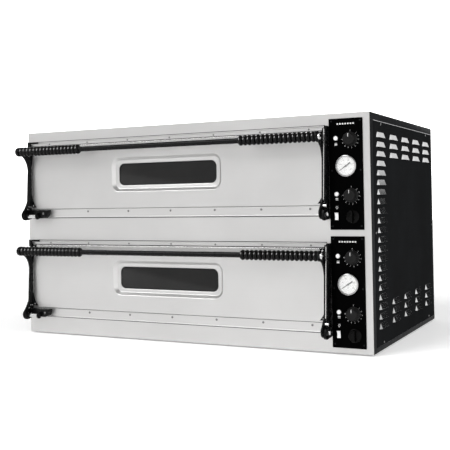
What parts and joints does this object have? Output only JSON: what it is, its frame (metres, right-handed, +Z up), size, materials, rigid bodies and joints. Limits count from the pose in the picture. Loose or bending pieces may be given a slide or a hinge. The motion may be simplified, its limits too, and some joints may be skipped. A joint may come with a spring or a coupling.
{
  "type": "countertop pizza oven",
  "caption": "Stacked electric deck oven with stainless drop-down doors, ribbed bar handles and black control panels beside them.",
  "frame": {"origin": "centre of the overall footprint, at the underside of the feet", "axes": "+X to the right seen from the front, -Y out of the front, +Z up"},
  "size_m": [1.3536, 0.902, 0.75],
  "materials": {
    "stainless": "satin, fine vertical grain",
    "chamber_steel": "dull, heat tinted",
    "black_paint": "satin powder coat",
    "black_gloss": "gloss, printed scales",
    "handle_tube": "satin",
    "black_plastic": "moulded, fine texture",
    "grip_plastic": "ribbed, heat resistant",
    "white_plastic": "gloss",
    "white_lens": "translucent lens",
    "gauge_steel": "polished bezel",
    "firebrick": "dry refractory",
    "element_metal": "oxidised element sheath",
    "door_glass": "toughened, dark oven behind",
    "mineral_wool": "loose fibre",
    "rubber": "matt"
  },
  "bodies": {
    "body": {"front_fascia": "stainless", "side_frame_right": "black_paint", "side_frame_left": "black_paint", "side_cover_right": "black_paint", "side_cover_left": "black_paint", "top_cover": "black_paint", "base_plate": "black_paint", "back_panel": "black_paint", "cable_gland": "black_plastic", "insulation": "mineral_wool", "foot_front_left": "rubber", "foot_front_right": "rubber", "foot_back_left": "rubber", "foot_back_right": "rubber", "lower_chamber": "chamber_steel", "lower_hearth_stone": "firebrick", "lower_heater_top": "element_metal", "lower_heater_bottom": "element_metal", "lower_hinge_bracket_left": "black_paint", "lower_hinge_post_right": "black_paint", "lower_control_panel": "black_gloss", "lower_pilot_lamp_top": "white_lens", "lower_pilot_lamp_bottom": "white_lens", "lower_thermometer_case": "gauge_steel", "upper_chamber": "chamber_steel", "upper_hearth_stone": "firebrick", "upper_heater_top": "element_metal", "upper_heater_bottom": "element_metal", "upper_hinge_bracket_left": "black_paint", "upper_hinge_post_right": "black_paint", "upper_control_panel": "black_gloss", "upper_pilot_lamp_top": "white_lens", "upper_pilot_lamp_bottom": "white_lens", "upper_thermometer_case": "gauge_steel"},
    "lower_door": {"lower_door_skin": "stainless", "lower_door_inner_pan": "chamber_steel", "lower_door_glass": "door_glass", "lower_handle_arm_left": "black_paint", "lower_handle_arm_right": "black_paint", "lower_handle_bar": "handle_tube", "lower_handle_grip_left": "grip_plastic", "lower_handle_grip_right": "grip_plastic"},
    "lower_thermostat_knob_top": {"lower_thermostat_knob_top": "black_plastic"},
    "lower_thermostat_knob_bottom": {"lower_thermostat_knob_bottom": "black_plastic"},
    "lower_main_switch_knob": {"lower_main_switch_knob": "black_plastic"},
    "lower_light_switch_rocker": {"lower_light_switch_rocker": "white_plastic"},
    "lower_thermometer_needle": {"lower_thermometer_needle": "black_plastic"},
    "upper_door": {"upper_door_skin": "stainless", "upper_door_inner_pan": "chamber_steel", "upper_door_glass": "door_glass", "upper_handle_arm_left": "black_paint", "upper_handle_arm_right": "black_paint", "upper_handle_bar": "handle_tube", "upper_handle_grip_left": "grip_plastic", "upper_handle_grip_right": "grip_plastic"},
    "upper_thermostat_knob_top": {"upper_thermostat_knob_top": "black_plastic"},
    "upper_thermostat_knob_bottom": {"upper_thermostat_knob_bottom": "black_plastic"},
    "upper_main_switch_knob": {"upper_main_switch_knob": "black_plastic"},
    "upper_light_switch_rocker": {"upper_light_switch_rocker": "white_plastic"},
    "upper_thermometer_needle": {"upper_thermometer_needle": "black_plastic"}
  },
  "joints": [
    {"name": "lower_door_hinge", "type": "hinge", "parent": "body", "child": "lower_door", "pos_m": [0, -0.404, 0.072], "axis": [1, 0, 0], "range_deg": [0, 90]},
    {"name": "lower_thermostat_top_turn", "type": "hinge", "parent": "body", "child": "lower_thermostat_knob_top", "pos_m": [0.608, -0.3713, 0.302], "axis": [0, 1, 0], "range_deg": [0, 270]},
    {"name": "lower_thermostat_bottom_turn", "type": "hinge", "parent": "body", "child": "lower_thermostat_knob_bottom", "pos_m": [0.608, -0.3713, 0.128], "axis": [0, 1, 0], "range_deg": [0, 270]},
    {"name": "lower_main_switch_turn", "type": "hinge", "parent": "body", "child": "lower_main_switch_knob", "pos_m": [0.612, -0.3713, 0.0625], "axis": [0, 1, 0], "range_deg": [0, 90]},
    {"name": "lower_light_switch_rock", "type": "hinge", "parent": "body", "child": "lower_light_switch_rocker", "pos_m": [0.56, -0.3713, 0.064], "axis": [-1, 0, 0], "range_deg": [0, 16]},
    {"name": "lower_thermometer_sweep", "type": "hinge", "parent": "body", "child": "lower_thermometer_needle", "pos_m": [0.594, -0.3763, 0.2194], "axis": [0, 1, 0], "range_deg": [0, 248]},
    {"name": "upper_door_hinge", "type": "hinge", "parent": "body", "child": "upper_door", "pos_m": [0, -0.404, 0.438], "axis": [1, 0, 0], "range_deg": [0, 90]},
    {"name": "upper_thermostat_top_turn", "type": "hinge", "parent": "body", "child": "upper_thermostat_knob_top", "pos_m": [0.608, -0.3713, 0.668], "axis": [0, 1, 0], "range_deg": [0, 270]},
    {"name": "upper_thermostat_bottom_turn", "type": "hinge", "parent": "body", "child": "upper_thermostat_knob_bottom", "pos_m": [0.608, -0.3713, 0.494], "axis": [0, 1, 0], "range_deg": [0, 270]},
    {"name": "upper_main_switch_turn", "type": "hinge", "parent": "body", "child": "upper_main_switch_knob", "pos_m": [0.612, -0.3713, 0.4285], "axis": [0, 1, 0], "range_deg": [0, 90]},
    {"name": "upper_light_switch_rock", "type": "hinge", "parent": "body", "child": "upper_light_switch_rocker", "pos_m": [0.56, -0.3713, 0.43], "axis": [-1, 0, 0], "range_deg": [0, 16]},
    {"name": "upper_thermometer_sweep", "type": "hinge", "parent": "body", "child": "upper_thermometer_needle", "pos_m": [0.594, -0.3763, 0.5854], "axis": [0, 1, 0], "range_deg": [0, 248]}
  ]
}
